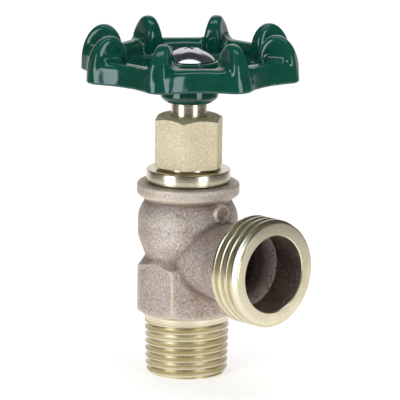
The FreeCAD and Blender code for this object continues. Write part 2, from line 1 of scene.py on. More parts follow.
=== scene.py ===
# %% [markdown]
# # A boiler drain valve
# A cast bronze tap that empties a boiler: a pipe thread below, a hose thread at the side, a screwed
# bonnet with a packing nut on top, and a green enamelled handwheel. The CAD model is the frame. This
# script dresses it piece by piece: castings get soft corners and a sandy skin, turned pieces get crisp
# edges and tool marks, and the wheel gets its glossy enamel.

import json
import math

import bmesh
import bpy
import numpy
from mathutils import Matrix, Vector

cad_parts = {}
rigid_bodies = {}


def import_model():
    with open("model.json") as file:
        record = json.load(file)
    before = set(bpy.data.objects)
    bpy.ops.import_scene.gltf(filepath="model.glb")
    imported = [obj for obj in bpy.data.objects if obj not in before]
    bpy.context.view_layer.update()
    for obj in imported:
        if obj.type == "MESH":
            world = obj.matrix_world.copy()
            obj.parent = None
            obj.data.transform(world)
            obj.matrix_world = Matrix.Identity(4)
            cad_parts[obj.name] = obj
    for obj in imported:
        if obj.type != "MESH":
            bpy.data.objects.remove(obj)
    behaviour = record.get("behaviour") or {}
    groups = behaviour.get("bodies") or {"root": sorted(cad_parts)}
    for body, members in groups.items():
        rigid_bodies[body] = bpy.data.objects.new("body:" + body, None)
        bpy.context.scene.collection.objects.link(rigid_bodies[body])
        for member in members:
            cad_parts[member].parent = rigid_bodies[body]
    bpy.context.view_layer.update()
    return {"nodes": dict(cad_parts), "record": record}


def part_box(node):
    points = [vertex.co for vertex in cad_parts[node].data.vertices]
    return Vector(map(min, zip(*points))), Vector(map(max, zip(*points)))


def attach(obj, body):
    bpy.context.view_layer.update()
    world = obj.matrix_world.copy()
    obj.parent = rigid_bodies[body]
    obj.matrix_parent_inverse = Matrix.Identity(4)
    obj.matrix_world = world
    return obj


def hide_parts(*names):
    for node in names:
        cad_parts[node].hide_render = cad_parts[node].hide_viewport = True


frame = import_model()
mounts = {mount["name"]: mount for mount in frame["record"]["mounts"]}
MM = 0.001
print("frame:", len(frame["nodes"]), "nodes,", len(mounts), "mounts")

# %% [markdown]
# ## Levels that the frame gives
# Every new piece has to sit where its CAD node sits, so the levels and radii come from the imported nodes
# and mounts. They are kept in millimetres.

# %% Levels and radii in millimetres


def edges_of(node):
    """The lowest and highest corner of a CAD node, in millimetres."""
    low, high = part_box(node)
    return low / MM, high / MM


collar_top = edges_of("valve_body")[1].z
flange_low, flange_high = edges_of("bonnet")
nut_low, nut_high = edges_of("packing_nut")
stem_low, stem_high = edges_of("stem")
wheel_low, wheel_high = edges_of("handwheel")
screw_low, screw_high = edges_of("handle_screw")
gasket_top = edges_of("bonnet_gasket")[1].z
pipe_radius = mounts["inlet_thread"]["dims"]["r_mm"]
pipe_length = mounts["inlet_thread"]["dims"]["length_mm"]
inlet_bore = mounts["inlet_bore"]["dims"]["r_mm"]
seat_bore_foot = mounts["inlet_bore"]["dims"]["length_mm"]
hose_radius = mounts["outlet_thread"]["dims"]["r_mm"]
hose_length = mounts["outlet_thread"]["dims"]["length_mm"]
outlet_bore = mounts["outlet_bore"]["dims"]["r_mm"]
outlet_level = mounts["outlet_thread"]["pos_m"][2] / MM
outlet_end = -mounts["outlet_thread"]["pos_m"][1] / MM
print("collar top", round(collar_top, 2), "outlet level", round(outlet_level, 2), "outlet end", outlet_end)

# %% [markdown]
# ## Turned shapes
# Almost every piece of a valve comes off a lathe, so most shapes here start as half of a section that is
# spun once round an axis. A corner of the section carries its rounding, which becomes a short arc.

# %% Sections and the lathe


def section(corners, steps=5):
    """Points of a closed outline of (radius, height, rounding) corners, with roundings as arcs."""
    points = []
    for index, (radius, height, rounding) in enumerate(corners):
        here = Vector((radius, height))
        if not rounding:
            points.append(here)
            continue
        before = (Vector(corners[index - 1][:2]) - here).normalized()
        after = (Vector(corners[(index + 1) % len(corners)][:2]) - here).normalized()
        corner = before.angle(after)
        centre = here + (before + after).normalized() * rounding / math.sin(corner / 2)
        start = here + before * rounding / math.tan(corner / 2) - centre
        sweep = (math.pi - corner) * (1 if before.x * after.y - before.y * after.x < 0 else -1)
        for step in range(steps + 1):
            points.append(centre + Matrix.Rotation(sweep * step / steps, 2) @ start)
    return points


def make(name, shape, place=Matrix()):
    """An object from a finished bmesh, moved to its place within its own mesh."""
    bmesh.ops.transform(shape, matrix=place, space=Matrix(), verts=shape.verts)
    mesh = bpy.data.meshes.new(name)
    shape.to_mesh(mesh)
    shape.free()
    piece = bpy.data.objects.new(name, mesh)
    bpy.context.scene.collection.objects.link(piece)
    return piece


def lathe(name, corners, place=Matrix(), turns=128, steps=5):
    """A turned solid from half of its section, round the stem's axis or another place's upright."""
    shape = bmesh.new()
    points = section(corners, steps)
    ring = [shape.verts.new((point.x * MM, 0, point.y * MM)) for point in points]
    lines = [shape.edges.new(pair) for pair in zip(ring, ring[1:])]
    if points[0].x > 0 or points[-1].x > 0:
        lines.append(shape.edges.new((ring[-1], ring[0])))
    bmesh.ops.spin(shape, geom=ring + lines, cent=(0, 0, 0), axis=(0, 0, 1), dvec=(0, 0, 0),
                   angle=2 * math.pi, steps=turns, space=Matrix(), use_merge=True,
                   use_normal_flip=False, use_duplicate=False)
    bmesh.ops.remove_doubles(shape, verts=shape.verts, dist=1e-7)
    bmesh.ops.recalc_face_normals(shape, faces=shape.faces)
    return make(name, shape, place)


# %% [markdown]
# ## Joining and cutting
# A boolean joins two shapes or cuts one from the other. Solids that only overlap can also be gathered
# in one mesh, when a common skin joins them later.

# %% Helpers that join and cut


def settle(piece):
    """Make a piece's modifiers part of its mesh."""
    bpy.context.view_layer.update()
    ready = bpy.data.meshes.new_from_object(
        piece.evaluated_get(bpy.context.evaluated_depsgraph_get()))
    old = piece.data
    piece.modifiers.clear()
    piece.data = ready
    bpy.data.meshes.remove(old)


def combine(piece, how, *tools):
    """Join tool shapes to a piece ("UNION"), or cut ("DIFFERENCE") or trim ("INTERSECT") it by them."""
    for tool in tools:
        change = piece.modifiers.new(tool.name, "BOOLEAN")
        change.object = tool
        change.operation = how
        change.solver = "EXACT"
    settle(piece)
    for tool in tools:
        bpy.data.objects.remove(tool)
    return piece


def gather(piece, *others):
    """Put other solids into a piece's mesh; the skin that soften gives later joins them into one."""
    shape = bmesh.new()
    for solid in (piece, *others):
        shape.from_mesh(solid.data)
    shape.to_mesh(piece.data)
    shape.free()
    for solid in others:
        bpy.data.objects.remove(solid)


# %% [markdown]
# ## The skin of a casting
# A casting has no sharp corners, so its shape is given one even skin of small squares, and the skin is
# smoothed until its corners are as round as the sand mould left them. How far it bulges out or dips in
# at each point, against a much smoother copy of itself, is kept for the finishes.

# %% Helpers that soften
BEND_REACH = 30


def note_bend(piece):
    """Keep, at each point, how far the skin bulges out or dips in, in millimetres, for its finish."""
    mesh = piece.data
    count = len(mesh.vertices)
    here = numpy.empty(3 * count)
    mesh.vertices.foreach_get("co", here)
    out = numpy.empty(3 * count)
    mesh.vertices.foreach_get("normal", out)
    ends = numpy.empty(2 * len(mesh.edges), dtype=int)
    mesh.edges.foreach_get("vertices", ends)
    starts, stops = ends.reshape(-1, 2).T
    near = numpy.bincount(ends, minlength=count)
    level_skin = here.reshape(-1, 3).copy()
    for step in range(BEND_REACH):
        for axis in range(3):
            column = level_skin[:, axis].copy()
            total = numpy.bincount(starts, column[stops], count)
            total += numpy.bincount(stops, column[starts], count)
            level_skin[:, axis] = total / near
    bend = ((here.reshape(-1, 3) - level_skin) * out.reshape(-1, 3)).sum(axis=1) / MM
    mesh.attributes.new("bend", "FLOAT", "POINT").data.foreach_set("value", bend)


def soften(piece, square, passes):
    """One skin of even squares of the given size in millimetres, smoothed the given number of times."""
    skin = piece.modifiers.new("skin", "REMESH")
    skin.mode = "VOXEL"
    skin.voxel_size = square * MM
    skin.use_smooth_shade = True
    smooth = piece.modifiers.new("smooth", "SMOOTH")
    smooth.factor = 0.5
    smooth.iterations = passes
    settle(piece)
    shape = bmesh.new()
    shape.from_mesh(piece.data)
    bmesh.ops.remove_doubles(shape, verts=shape.verts, dist=square * MM / 4)
    shape.to_mesh(piece.data)
    shape.free()
    note_bend(piece)
    print(piece.name, "has", len(piece.data.polygons), "faces")


# %% [markdown]
# ## Machined pieces and straight bars
# Machined pieces keep their crisp edges. Straight bars start as a flat outline that is drawn out.

# %% Helpers for machined and straight shapes


def shade(piece, angle=35):
    """Smooth shading with crisp edges where faces meet at more than the angle."""
    piece.data.shade_smooth()
    piece.data.set_sharp_from_angle(angle=math.radians(angle))
    return piece


def draw_out(shape, push):
    """Draw a flat bmesh out into a solid, along a push in metres."""
    drawn = bmesh.ops.extrude_face_region(shape, geom=shape.faces[:])
    moved = [item for item in drawn["geom"] if isinstance(item, bmesh.types.BMVert)]
    bmesh.ops.translate(shape, verts=moved, vec=push)


def round_edges(shape, edges, rounding, segments, clamp=True):
    """Round some edges of a bmesh by a width in millimetres."""
    bmesh.ops.bevel(shape, geom=edges, offset=rounding * MM, offset_type="OFFSET", segments=segments,
                    profile=0.5, affect="EDGES", clamp_overlap=clamp, material=-1)


def hexagon(name, flats, foot, top, turn=0):
    """An upright hexagonal bar with two of its corners towards the outlet and the back."""
    shape = bmesh.new()
    bmesh.ops.create_circle(shape, cap_ends=True, segments=6, radius=flats / math.sqrt(3) * MM)
    draw_out(shape, (0, 0, (top - foot) * MM))
    bmesh.ops.recalc_face_normals(shape, faces=shape.faces)
    return make(name, shape, Matrix.Translation((0, 0, foot * MM)) @ Matrix.Rotation(turn, 4, "Z"))


# %% [markdown]
# ## The outside of the cast body
# The body is one sand casting. A hexagon for the wrench carries a round globe with a collar, and the
# outlet's neck grows out of the globe and widens like a horn towards the hose thread. A small round pad
# with a hollow in its end stands on the globe, above the neck. The neck and the pad are turned upright
# and then laid over onto the outlet's axis.

# %% Cast body, outside
OUTLET = Matrix.Translation((0, 0, outlet_level * MM)) @ Matrix.Rotation(math.pi / 2, 4, "X")
HEX_FLATS = 22.4
HEX_CORNER = 13.4
HEX_FOOT = pipe_length
HEX_TOP = 31.0
WAIST = 10.7
GLOBE = 12.6
COLLAR = 12.9
HORN_ROOT = 9.4
HORN_MOUTH = 12.05
HORN_REACH = 23.6
PAD = 2.4
PAD_REACH = 13.0
PAD_HOLLOW = 1.8
PAD_ABOVE_OUTLET = 12.1

cast_body = hexagon("cast_body", HEX_FLATS, HEX_FOOT, HEX_TOP)
combine(cast_body, "INTERSECT", lathe("hexagon_form", [
    (0, HEX_FOOT, 0), (HEX_FLATS / 2, HEX_FOOT, 0), (HEX_CORNER, 16.67, 0), (HEX_CORNER, 27.95, 0),
    (11.4, 28.75, 1.5), (WAIST - 0.1, 30.1, 0.8), (WAIST - 0.1, HEX_TOP, 0), (0, HEX_TOP, 0)]))
combine(cast_body, "UNION", lathe("globe", [
    (0, 22.0, 0), (WAIST - 0.4, 22.0, 0), (WAIST - 0.05, 30.3, 2.0), (GLOBE, 35.2, 7.0),
    (GLOBE, 41.4, 7.0), (10.75, 44.6, 0.5), (COLLAR, 46.1, 0.3), (COLLAR, collar_top, 0.6),
    (0, collar_top, 0)], steps=12))
combine(cast_body, "UNION", lathe("horn", [
    (0, 3.0, 0), (HORN_ROOT, 3.0, 0), (HORN_ROOT, 13.2, 14.0), (HORN_MOUTH, HORN_REACH, 0),
    (0, HORN_REACH, 0)], OUTLET, steps=12))
combine(cast_body, "UNION", lathe("pad", [
    (0, 2.0, 0), (PAD, 2.0, 0), (PAD, PAD_REACH, 0.3), (PAD_HOLLOW, PAD_REACH, 0.2),
    (1.6, 12.5, 0), (0, 12.4, 0)],
    Matrix.Translation((0, 0, PAD_ABOVE_OUTLET * MM)) @ OUTLET, turns=32))
print("cast body, outside:", len(cast_body.data.polygons), "faces")

# %% [markdown]
# ## The passages
# Water comes up the inlet, through the seat on top of a short column, into the chamber under the bonnet,
# and leaves by the outlet. So the chamber and the waterway are cut out first, the column is put back
# in, and the inlet's passage is cut up through it. Then the whole casting gets its soft skin.

# %% Cast body, passages
THROAT = 8.95
WATERWAY = 7.4
COLUMN = 8.75
SEAT_RING = 7.8
SEAT_BORE = 6.0
SEAT = outlet_level + 2.5
CHAMBER_FLOOR = SEAT - 1.0

combine(cast_body, "DIFFERENCE", lathe("chamber", [
    (0, CHAMBER_FLOOR, 0), (THROAT, CHAMBER_FLOOR, 0), (THROAT, 50.0, 0), (0, 50.0, 0)]))
combine(cast_body, "DIFFERENCE", lathe("waterway", [
    (0, 4.0, 0), (WATERWAY, 4.0, 0), (WATERWAY, 16.6, 3.0), (9.55, 22.2, 1.0), (9.95, 23.0, 0),
    (9.95, 25.0, 0), (0, 25.0, 0)], OUTLET))
combine(cast_body, "UNION", lathe("seat_column", [
    (0, 20.0, 0), (COLUMN, 20.0, 0), (COLUMN, CHAMBER_FLOOR, 0), (SEAT_RING, CHAMBER_FLOOR, 0),
    (SEAT_RING, SEAT, 0), (0, SEAT, 0)]))
combine(cast_body, "DIFFERENCE", lathe("inlet_passage", [
    (0, 10.0, 0), (inlet_bore + 0.1, 10.0, 0), (inlet_bore + 0.1, seat_bore_foot, 0),
    (SEAT_BORE, seat_bore_foot, 0), (SEAT_BORE, 40.0, 0), (0, 40.0, 0)]))
soften(cast_body, square=0.31, passes=3)
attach(cast_body, "valve")
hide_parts("valve_body")

# %% [markdown]
# ## Screw threads
# A thread is one tooth of its section, swept round the axis while it climbs by one pitch in each turn.
# Spinning with a step upwards does exactly this. The swept band is cut off flat at both ends and
# closed, and a turned envelope then trims the ends to their chamfers. Both ends of the valve are
# right-handed: the thread climbs as it goes round anticlockwise, seen from above.

# %% Threaded bar


def threaded_bar(name, crest, root, pitch, low, high, soft, flats, taper=0.0, turns=96, points=12):
    """A bar with a right-handed thread: soft rounds its teeth, flats is the share of a pitch that is
    flat at the root, and again at the crest, and taper widens the bar upwards."""
    shape = bmesh.new()
    ring = []
    for point in range(points + 1):
        rise = 1 - abs(2 * point / points - 1)
        rise = min(1, max(0, (rise - flats) / (1 - 2 * flats)))
        rise += soft * (rise * rise * (3 - 2 * rise) - rise)
        ring.append(shape.verts.new(((root + (crest - root) * rise) * MM, 0,
                                     (low - (2 - point / points) * pitch) * MM)))
    lines = [shape.edges.new(pair) for pair in zip(ring, ring[1:])]
    rounds = math.ceil((high - low) / pitch) + 3
    bmesh.ops.spin(shape, geom=ring + lines, cent=(0, 0, 0), axis=(0, 0, 1),
                   dvec=(0, 0, pitch * MM / turns), angle=2 * math.pi * rounds, steps=turns * rounds,
                   space=Matrix(), use_merge=False, use_normal_flip=False, use_duplicate=False)
    bmesh.ops.remove_doubles(shape, verts=shape.verts, dist=1e-6)
    for cut, side in ((low, -1), (high, 1)):
        bmesh.ops.bisect_plane(shape, geom=shape.verts[:] + shape.edges[:] + shape.faces[:], dist=1e-8,
                               plane_co=(0, 0, cut * MM), plane_no=(0, 0, side), clear_outer=True)
    bmesh.ops.holes_fill(shape, edges=[edge for edge in shape.edges if edge.is_boundary], sides=0)
    for vert in shape.verts:
        radius = math.hypot(vert.co.x, vert.co.y)
        narrower = 1 - taper * (high * MM - vert.co.z) / radius
        vert.co.x *= narrower
        vert.co.y *= narrower
    bmesh.ops.recalc_face_normals(shape, faces=shape.faces)
    return make(name, shape)


# %% [markdown]
# ## The inlet's pipe thread
# The pipe thread narrows towards its end, by 1 in 16 across its width, and ends in a plain machined
# ring under the hexagon. The last turn fades out where the tool ran out of the work.

# %% Inlet thread
PIPE_PITCH = 25.4 / 14
PIPE_THREAD_LENGTH = 13.8
PIPE_CREST = pipe_radius + 0.12
PIPE_ROOT = pipe_radius - 1.1
RING_FOOT = 13.2
RING_TOP = 16.2

inlet = threaded_bar("inlet_thread", PIPE_CREST, PIPE_ROOT, PIPE_PITCH, -1.0, PIPE_THREAD_LENGTH,
                     soft=0.15, flats=0.09, taper=1 / 32)
combine(inlet, "INTERSECT", lathe("inlet_envelope", [
    (0, 0, 0), (9.3, 0, 0), (10.3, 1.1, 0), (pipe_radius, 12.9, 0), (pipe_radius, 15.0, 0), (0, 15.0, 0)]))
combine(inlet, "UNION", lathe("inlet_ring", [
    (0, RING_FOOT, 0), (pipe_radius - 1.0, RING_FOOT, 0), (pipe_radius, 13.9, 0.1),
    (pipe_radius, RING_TOP, 0), (0, RING_TOP, 0)]))
combine(inlet, "DIFFERENCE", lathe("inlet_hole", [
    (0, -1.0, 0), (inlet_bore + 0.9, -1.0, 0), (inlet_bore, 0.6, 0), (inlet_bore, 17.0, 0), (0, 17.0, 0)]))
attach(shade(inlet, 20), "valve")
print("inlet thread:", len(inlet.data.polygons), "faces, pitch", round(PIPE_PITCH, 3))

# %% [markdown]
# ## The outlet's hose thread
# The hose thread is coarse and round, with a flat ring on its end that seals on the hose's washer. It is
# modelled upright like the inlet and then laid over onto the outlet's axis, from its inner end outwards.

# %% Hose thread
HOSE_PITCH = 25.4 / 11.5
HOSE_CREST = hose_radius + 0.15
HOSE_ROOT = 12.05

hose_thread = threaded_bar("hose_thread", HOSE_CREST, HOSE_ROOT, HOSE_PITCH, -1.0, hose_length + 1.0,
                           soft=0.9, flats=0.15)
combine(hose_thread, "INTERSECT", lathe("hose_envelope", [
    (0, 0, 0), (hose_radius - 0.9, 0, 0), (hose_radius, 0.6, 0.2), (hose_radius, hose_length - 0.7, 0.2),
    (hose_radius - 0.7, hose_length, 0.15), (0, hose_length, 0)]))
combine(hose_thread, "DIFFERENCE", lathe("hose_bore", [
    (0, -1.0, 0), (outlet_bore, -1.0, 0), (outlet_bore, hose_length - 0.25, 0),
    (outlet_bore + 0.5, hose_length + 0.25, 0), (0, hose_length + 0.25, 0)]))
hose_thread.data.transform(
    OUTLET @ Matrix.Translation((0, 0, (outlet_end - hose_length) * MM)))
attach(shade(hose_thread, 25), "valve")
print("hose thread:", len(hose_thread.data.polygons), "faces, pitch", round(HOSE_PITCH, 3))

# %% [markdown]
# ## The bonnet
# The bonnet screws into the collar, and only its round flange shows. Inside, it has a wide bore for the
# stem's thread and a narrow one for its plain shaft, and its neck goes up into the packing nut.

# %% Bonnet
FLANGE = flange_high.x
FLANGE_TOP = 52.4
SPIGOT = 8.9
STEM_THREAD = 5.3
STEM = 4.47
NECK = 6.5

bonnet = lathe("turned_bonnet", [
    (STEM_THREAD + 0.05, flange_low.z, 0), (SPIGOT, flange_low.z, 0.3), (SPIGOT, gasket_top, 0),
    (FLANGE, gasket_top, 0.2), (FLANGE, FLANGE_TOP, 0.35), (NECK, FLANGE_TOP, 0.2),
    (NECK, flange_high.z, 0.2), (STEM + 0.05, flange_high.z, 0), (STEM + 0.05, 56.0, 0),
    (STEM_THREAD + 0.05, 56.0, 0)])
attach(shade(bonnet), "valve")
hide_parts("bonnet")
print("bonnet:", len(bonnet.data.polygons), "faces")

# %% [markdown]
# ## The packing nut
# The nut is cut from hexagonal bar. Its upper corners are turned off at an angle, which leaves the
# curved edges that every nut has, and its upright edges are rubbed a little round.

# %% Packing nut
NUT_FLATS = 15.875
NUT_TURN = math.radians(9)
NUT_EDGE = 0.35
NUT_ROUND = 9.4
NUT_CROWN = 7.5
PACKING_TOP = 64.3

nut = hexagon("nut", NUT_FLATS, nut_low.z, nut_high.z, NUT_TURN)
shape = bmesh.new()
shape.from_mesh(nut.data)
upright = [edge for edge in shape.edges if abs(edge.verts[0].co.z - edge.verts[1].co.z) > MM]
round_edges(shape, upright, NUT_EDGE, 3)
shape.to_mesh(nut.data)
shape.free()
combine(nut, "INTERSECT", lathe("nut_form", [
    (0, nut_low.z, 0), (8.7, nut_low.z, 0), (NUT_ROUND, nut_low.z + 0.35, 0),
    (NUT_ROUND, nut_high.z - 1.05, 0), (NUT_CROWN, nut_high.z, 0.4), (0, nut_high.z, 0)]))
combine(nut, "DIFFERENCE", lathe("nut_hole", [
    (0, nut_low.z - 1, 0), (NECK + 0.05, nut_low.z - 1, 0), (NECK + 0.05, PACKING_TOP, 0),
    (STEM + 0.05, PACKING_TOP, 0), (STEM + 0.05, nut_high.z - 0.3, 0), (STEM + 0.6, nut_high.z + 0.3, 0),
    (0, nut_high.z + 0.3, 0)]))
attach(shade(nut, 25), "valve")
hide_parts("packing_nut")
print("nut:", len(nut.data.polygons), "faces")

# %% [markdown]
# ## The stem
# The stem is turned in one piece: a wide holder for the seat's washer below, the part that carries its
# thread, and a plain shaft. On top it is milled square, so that the wheel can't slip round on it.

# %% Stem
HOLDER = 8.1
HOLDER_TOP = 38.21
STEM_THREAD_TOP = 50.31
SQUARE = 6.25
SQUARE_FOOT = 68.0
WHEEL_TURN = math.radians(-15)

stem = lathe("turned_stem", [
    (0, stem_low.z, 0), (HOLDER, stem_low.z, 0.3), (HOLDER, HOLDER_TOP, 0.3),
    (STEM_THREAD, HOLDER_TOP, 0.2), (STEM_THREAD, STEM_THREAD_TOP, 0.3), (STEM, STEM_THREAD_TOP, 0),
    (STEM, wheel_low.z, 0), (0, wheel_low.z, 0)])
square = bmesh.new()
bmesh.ops.create_cube(square, size=SQUARE * MM)
bmesh.ops.scale(square, vec=(1, 1, (stem_high.z - SQUARE_FOOT) / SQUARE), verts=square.verts)
combine(stem, "UNION", make("stem_square", square, Matrix.Rotation(WHEEL_TURN, 4, "Z")
                            @ Matrix.Translation((0, 0, (stem_high.z + SQUARE_FOOT) / 2 * MM))))
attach(shade(stem), "spindle")
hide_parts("stem")
print("stem:", len(stem.data.polygons), "faces")

# %% [markdown]
# ## The handwheel's rim and web
# The wheel is an enamelled casting. The outside of its rim swings in and out in eight waves, and inside
# the rim lies a dished web. The outline is arcs: a small one round each tip and a large hollow one
# between two tips, which meet without a corner. The rim narrows a little upwards, as a pattern has to
# so that it leaves the sand, and its upper edge is well rounded.

# %% Rim and web
LOBES = 8
REACH = 28.5
TIP = 4.3
VALLEY = 24.8
RIM_INSIDE = 19.6
RIM_FOOT = 76.0
RIM_TOP = 81.7
RIM_EDGE = 2.0
RIM_DRAFT = 0.0025
WEB_TOP = 77.9


def rim_outline():
    """Points of the rim's wavy outline, counted round from the first tip."""
    half = math.pi / LOBES
    tip_centre = REACH - TIP
    inset = VALLEY - TIP
    hollow_centre = (tip_centre ** 2 - inset ** 2) / (2 * (tip_centre * math.cos(half) - inset))
    hollow = hollow_centre - VALLEY
    spread = math.atan2(hollow_centre * math.sin(half), hollow_centre * math.cos(half) - tip_centre)
    points = []
    for lobe in range(LOBES):
        turn = Matrix.Rotation(2 * half * lobe, 2)
        for step in range(-6, 7):
            angle = spread * step / 6
            points.append(turn @ Vector((tip_centre + TIP * math.cos(angle), TIP * math.sin(angle))))
        sweep = spread - half
        for step in range(-7, 8):
            angle = math.pi + half - sweep * step / 8
            centre = hollow_centre * Vector((math.cos(half), math.sin(half)))
            points.append(turn @ (centre + hollow * Vector((math.cos(angle), math.sin(angle)))))
    return points


def rim_prism(name, foot, top, rounding=0.0):
    """The rim's outline drawn up from one level to another, a little narrower towards the top."""
    shape = bmesh.new()
    shape.faces.new([shape.verts.new((point.x * MM, point.y * MM, foot * MM)) for point in rim_outline()])
    draw_out(shape, (0, 0, (top - foot) * MM))
    for vert in shape.verts:
        narrower = 1 - RIM_DRAFT * (vert.co.z / MM - RIM_FOOT)
        vert.co.x *= narrower
        vert.co.y *= narrower
    if rounding:
        upper = [edge for edge in shape.edges if min(vert.co.z for vert in edge.verts) > (top - 0.01) * MM]
        round_edges(shape, upper, rounding, 6)
    bmesh.ops.recalc_face_normals(shape, faces=shape.faces)
    return make(name, shape)


wheel = rim_prism("enamelled_wheel", RIM_FOOT, RIM_TOP, RIM_EDGE)
combine(wheel, "DIFFERENCE", lathe("dish", [
    (0, WEB_TOP, 0), (RIM_INSIDE, WEB_TOP, 1.2), (RIM_INSIDE, RIM_TOP - 1.4, 1.5),
    (RIM_INSIDE + 2.8, RIM_TOP + 0.9, 0), (0, RIM_TOP + 0.9, 0)]))
print("rim and web:", len(wheel.data.polygons), "faces")

# %% [markdown]
# ## The fins
# On each wave stands a half-round fin for a finger. Seen from the side it is two quarters of ellipses:
# a tall one that leans in from the rim's outside up to the crown, and a lower one down to the dish. Its
# edges are rounded, and it gets thinner upwards. Where it leaves the rim, a fillet spreads out on both
# flanks, trimmed to the rim's outline and to the lean of the fins' outer sides.

# %% Fins
FIN_HALF = 2.4
FIN_DRAFT = 0.075
FIN_EDGE = 1.15
FIN_MIDDLE = 22.5
FIN_REACH = REACH - 0.4
FIN_INNER = 4.3
FIN_SHOULDER = 78.6
FIN_LEVEL = RIM_TOP + 0.3
FIN_FOOT = RIM_FOOT + 0.5
FIN_STEPS = 12
FILLET = 2.6
FILLET_TOP = RIM_TOP + 3.5
FILLET_INSET = 0.96


def fin_round(name, outline, push, rounding=0.0):
    """One flat outline made into a block by a push, repeated at every wave of the rim."""
    form = bmesh.new()
    form.faces.new([form.verts.new(Vector(point) * MM) for point in outline])
    draw_out(form, Vector(push) * MM)
    if rounding:
        sides = [edge for edge in form.edges if abs(edge.verts[0].co.y - edge.verts[1].co.y) < 1e-6]
        round_edges(form, sides, rounding, 5, clamp=False)
    for vert in form.verts:
        vert.co.y *= 1 - FIN_DRAFT * max(0, vert.co.z / MM - RIM_TOP)
    bmesh.ops.recalc_face_normals(form, faces=form.faces)
    bmesh.ops.spin(form, geom=form.faces[:], cent=(0, 0, 0), axis=(0, 0, 1), dvec=(0, 0, 0),
                   angle=2 * math.pi * (LOBES - 1) / LOBES, steps=LOBES - 1, space=Matrix(),
                   use_merge=False, use_normal_flip=False, use_duplicate=True)
    return make(name, form)


def quarter(reach, foot, way):
    """A quarter of an ellipse from a fin's side up to its crown (way 1), or down the inner side (-1)."""
    angles = [math.pi / 2 * step / FIN_STEPS for step in range(FIN_STEPS + 1)]
    arc = [(FIN_MIDDLE + way * reach * math.cos(angle), foot + (wheel_high.z - foot) * math.sin(angle))
           for angle in angles]
    return arc[::way]


outer_side = quarter(FIN_REACH - FIN_MIDDLE, FIN_SHOULDER, 1)
inner_side = quarter(FIN_INNER, FIN_LEVEL, -1)
side_view = [(outer_side[0][0], FIN_FOOT)] + outer_side + inner_side[1:] + [(inner_side[-1][0], FIN_FOOT)]
fins = fin_round("fins", [(across, -FIN_HALF, up) for across, up in side_view], (0, 2 * FIN_HALF, 0),
                 FIN_EDGE)
flank = [(FIN_HALF + 3.5, RIM_TOP - 0.5, 0), (FIN_HALF, RIM_TOP, FILLET), (FIN_HALF - 0.3, FILLET_TOP, 0)]
far_flank = [(-across, up, rounding) for across, up, rounding in flank[::-1]]
front_view = [(RIM_INSIDE + 1.0, point.x, point.y) for point in section(flank + far_flank)]
bell = [(across - 0.3, up, 0) for across, up in outer_side if up > RIM_TOP - 1.5]
fillets = rim_prism("fillets", RIM_TOP - 0.8, FILLET_TOP)
fillets.data.transform(Matrix.Diagonal((FILLET_INSET, FILLET_INSET, 1, 1)))
combine(fillets, "INTERSECT",
        fin_round("flared_feet", front_view, (REACH - RIM_INSIDE, 0, 0)),
        lathe("bell", [(0, RIM_TOP - 1.5, 0)] + bell + [(0, wheel_high.z, 0)]))
print("fins:", len(fins.data.polygons), "faces, fillets:", len(fillets.data.polygons), "faces")

# %% [markdown]
# ## The hub, and the wheel as one casting
# The hub narrows to its foot, and a square socket goes up through hub and web for the stem. Rim, fins,
# fillets and hub then share one skin, smoothed more often than the body's, because enamel fills corners.

# %% Hub and whole wheel
HUB = 7.3
HUB_FOOT = 5.9
HUB_CONE = 1.3
HUB_TOP = 79.9
SOCKET = 6.35
SOCKET_MIDDLE = 75.0

hub = lathe("hub", [
    (0, wheel_low.z, 0), (HUB_FOOT, wheel_low.z, 0.2), (HUB, wheel_low.z + HUB_CONE, 0.3),
    (HUB, HUB_TOP, 0.3), (0, HUB_TOP, 0)])
for solid in (wheel, hub):
    socket = bmesh.new()
    bmesh.ops.create_cube(socket, size=SOCKET * MM)
    bmesh.ops.scale(socket, vec=(1, 1, 3), verts=socket.verts)
    combine(solid, "DIFFERENCE",
            make("hub_socket", socket, Matrix.Translation((0, 0, SOCKET_MIDDLE * MM))))
gather(wheel, hub, fins, fillets)
wheel.data.transform(Matrix.Rotation(-math.pi / 2 + WHEEL_TURN, 4, "Z"))
soften(wheel, square=0.33, passes=14)
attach(wheel, "spindle")
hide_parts("handwheel")

# %% [markdown]
# ## The handle's screw
# One domed screw holds the wheel. Its head is part of a ball, and a cross recess for the driver is cut
# into its crown with two tapered wedges.

# %% Handle screw
SHANK = 2.08
HEAD = 6.3
HEAD_EDGE = 0.3
HEAD_RISE = screw_high.z - HUB_TOP
BALL = (HEAD ** 2 + (HEAD_RISE - HEAD_EDGE) ** 2) / (2 * (HEAD_RISE - HEAD_EDGE))
DOME_STEPS = 14
WEDGE = (4.6, 0.95, 3.6)
WEDGE_DEPTH = 0.2

dome = [(BALL * math.sin(angle), screw_high.z - BALL + BALL * math.cos(angle), 0)
        for angle in (math.asin(HEAD / BALL) * step / DOME_STEPS for step in range(DOME_STEPS, -1, -1))]
screw = lathe("domed_screw", [
    (0, screw_low.z, 0), (SHANK, screw_low.z, 0.4), (SHANK, HUB_TOP, 0), (HEAD, HUB_TOP, 0.1)] + dome)
for turn in (0, math.pi / 2):
    wedge = bmesh.new()
    bmesh.ops.create_cube(wedge, size=MM)
    bmesh.ops.scale(wedge, vec=WEDGE, verts=wedge.verts)
    tip = [vert for vert in wedge.verts if vert.co.z < 0]
    bmesh.ops.scale(wedge, vec=(0.35, 0.7, 1), verts=tip)
    combine(screw, "DIFFERENCE", make("recess", wedge, Matrix.Rotation(turn + WHEEL_TURN, 4, "Z")
                                      @ Matrix.Translation((0, 0, (screw_high.z - WEDGE_DEPTH) * MM))))
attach(shade(screw, 30), "spindle")
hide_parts("handle_screw")
print("screw:", len(screw.data.polygons), "faces")

# %% [markdown]
# ## Building materials from nodes
# A few small helpers keep the materials short: each adds one node with its settings and inputs. The
# patterns read each piece's own object coordinates, in metres, so a pattern's scale is how often it
# repeats in one metre.

# %% Node helpers


